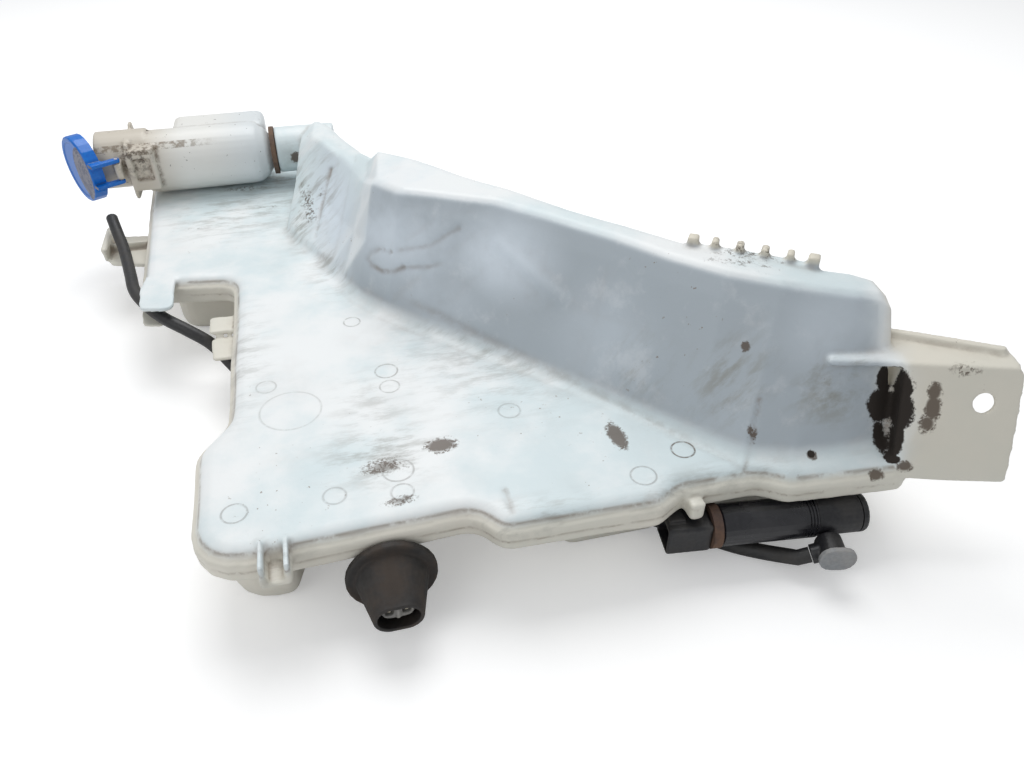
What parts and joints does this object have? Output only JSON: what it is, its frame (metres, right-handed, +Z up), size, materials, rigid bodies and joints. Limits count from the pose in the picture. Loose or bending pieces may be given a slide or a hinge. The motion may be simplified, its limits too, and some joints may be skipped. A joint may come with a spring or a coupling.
{
  "type": "washer fluid reservoir",
  "caption": "Blow-moulded car washer tank with a raised rear wall, side filler pipe and hinged cap, slim pump, level sensor in a rubber boot, hose and a leaning hanging bracket.",
  "frame": {"origin": "on the flat underside that the tank rests on as pictured, a little in front of the tank's middle", "axes": "+X along the tank's front edge towards the bracket, +Y from the front edge to the back, +Z up from the underside"},
  "size_m": [0.562, 0.5474, 0.1465],
  "materials": {
    "tank_shell": "natural translucent white polyethylene, satin, soiled in its creases",
    "pipe_moulding": "cream white polyethylene, satin",
    "brown_seal": "soiled brown rubber",
    "cap_plastic": "blue polypropylene, semi-gloss",
    "soft_rubber": "black rubber, matt",
    "black_plastic": "black glass-filled nylon, satin",
    "terminal_metal": "tinned brass",
    "motor_can": "black paint, semi-gloss",
    "magnet_ferrite": "dark ferrite, matt",
    "bush_bronze": "sintered bronze",
    "armature_copper": "enamelled copper winding on a laminated core",
    "shaft_steel": "ground steel",
    "impeller_plastic": "grey acetal",
    "boot_rubber": "dusty brown-black rubber, matt",
    "sensor_plastic": "grey nylon, matt",
    "float_plastic": "yellow foamed plastic, matt",
    "grey_plastic": "grey plastic, matt",
    "hose_rubber": "black rubber hose, satin"
  },
  "bodies": {
    "tank_body": {"tank": "tank_shell", "filler_pipe": "pipe_moulding", "filler_pipe_seal": "brown_seal", "hinge_pin": "pipe_moulding", "pump_connector": "black_plastic", "pump_terminal_1": "terminal_metal", "pump_terminal_2": "terminal_metal", "pump_ring": "brown_seal", "pump_motor_case": "motor_can", "motor_magnets": "magnet_ferrite", "rear_bush": "bush_bronze", "front_bush": "bush_bronze", "pump_head": "black_plastic", "pump_head_cover": "black_plastic", "shaft_seal": "soft_rubber", "pump_seal": "soft_rubber", "inlet_strainer": "pipe_moulding", "sensor_seal": "soft_rubber", "sensor_boot": "boot_rubber", "sensor_body": "sensor_plastic", "sensor_terminal_1": "terminal_metal", "sensor_terminal_2": "terminal_metal", "float_pin": "shaft_steel", "hose_elbow": "black_plastic", "elbow_cap": "grey_plastic", "hose": "hose_rubber"},
    "cap": {"filler_cap": "cap_plastic", "cap_gasket": "soft_rubber"},
    "rotor": {"pump_shaft": "shaft_steel", "motor_armature": "armature_copper", "pump_impeller": "impeller_plastic"},
    "float": {"sensor_float": "float_plastic"}
  },
  "joints": [
    {"name": "cap_hinge", "type": "hinge", "parent": "tank_body", "child": "cap", "pos_m": [-0.2225, 0.2695, 0.093], "axis": [0, 0, 1], "range_deg": [-31, 59]},
    {"name": "rotor_spin", "type": "hinge", "parent": "tank_body", "child": "rotor", "pos_m": [0.095, -0.159, 0.0265], "axis": [0.9928, -0.1201, 0], "continuous": true},
    {"name": "float_pivot", "type": "hinge", "parent": "tank_body", "child": "float", "pos_m": [-0.055, -0.095, 0.0262], "axis": [0, 0, 1], "range_deg": [-35, 35]}
  ]
}
